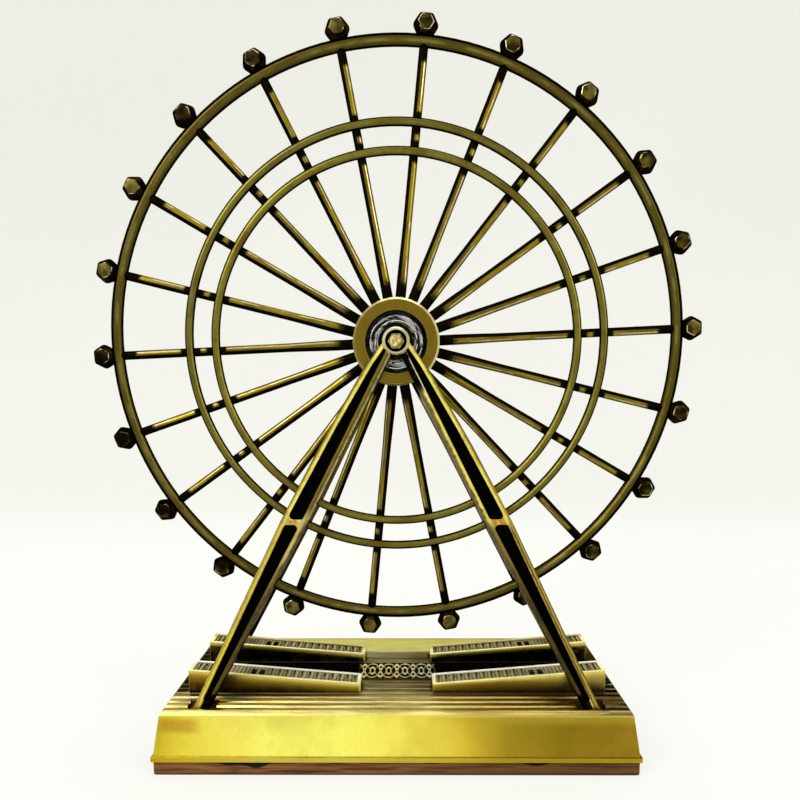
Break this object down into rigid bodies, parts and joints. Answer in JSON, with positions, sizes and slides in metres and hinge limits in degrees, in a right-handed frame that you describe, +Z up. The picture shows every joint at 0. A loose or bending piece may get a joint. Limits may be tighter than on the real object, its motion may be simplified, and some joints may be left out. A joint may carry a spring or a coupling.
{
  "type": "desk observation wheel",
  "caption": "Small cast metal model of an observation wheel: a spoked wheel with capsules on a ball bearing between two leaning A-frames on a hollow base.",
  "frame": {"origin": "middle of the underside of the bottom board", "axes": "+Z up, the wheel's axle along Y, the name plate's side facing -Y"},
  "size_m": [0.2126, 0.078, 0.2474],
  "materials": {
    "cast_brass": "antique plating over a casting, bright on the ridges and dark in the recesses",
    "wire_brass": "antique plating over round wire, darker towards every joint",
    "capsule_brass": "antique plating, near black on the sides and bright on the front facets",
    "nut_brass": "polished antique plating",
    "cage_brass": "plain pressed brass",
    "bearing_steel": "bright ground steel",
    "screw_steel": "plated steel",
    "board_wood": "reddish brown board with a rough cut edge"
  },
  "bodies": {
    "stand": {"base_casting": "cast_brass", "bottom_board": "board_wood", "board_screws": "screw_steel", "lattice_strip": "cast_brass", "platform_front_right": "cast_brass", "platform_front_left": "cast_brass", "platform_rear_right": "cast_brass", "platform_rear_left": "cast_brass", "front_a_frame": "cast_brass", "rear_a_frame": "cast_brass", "foot_nuts": "screw_steel", "axle_pin": "bearing_steel", "axle_spacers": "bearing_steel", "front_cap_nut": "nut_brass", "rear_cap_nut": "nut_brass", "bearing_inner_race": "bearing_steel"},
    "wheel": {"hub_barrel": "wire_brass", "front_hub_flange": "wire_brass", "rear_hub_flange": "wire_brass", "bearing_outer_race": "bearing_steel", "front_bearing_shield": "bearing_steel", "rear_bearing_shield": "bearing_steel", "outer_rim": "wire_brass", "middle_ring": "wire_brass", "inner_ring": "wire_brass", "spokes": "wire_brass", "capsule_01": "capsule_brass", "capsule_02": "capsule_brass", "capsule_03": "capsule_brass", "capsule_04": "capsule_brass", "capsule_05": "capsule_brass", "capsule_06": "capsule_brass", "capsule_07": "capsule_brass", "capsule_08": "capsule_brass", "capsule_09": "capsule_brass", "capsule_10": "capsule_brass", "capsule_11": "capsule_brass", "capsule_12": "capsule_brass", "capsule_13": "capsule_brass", "capsule_14": "capsule_brass", "capsule_15": "capsule_brass", "capsule_16": "capsule_brass", "capsule_17": "capsule_brass", "capsule_18": "capsule_brass", "capsule_19": "capsule_brass", "capsule_20": "capsule_brass", "capsule_21": "capsule_brass", "capsule_22": "capsule_brass"},
    "cage": {"bearing_balls": "bearing_steel", "ball_cage": "cage_brass"}
  },
  "joints": [
    {"name": "wheel_spin", "type": "hinge", "parent": "stand", "child": "wheel", "pos_m": [0, 0, 0.1414], "axis": [0, 1, 0], "continuous": true},
    {"name": "cage_spin", "type": "hinge", "parent": "stand", "child": "cage", "pos_m": [0, 0, 0.1414], "axis": [0, 1, 0], "continuous": true}
  ],
  "couplings": [
    {"joint": "cage_spin", "follows": "wheel_spin", "ratio": 0.6323}
  ]
}
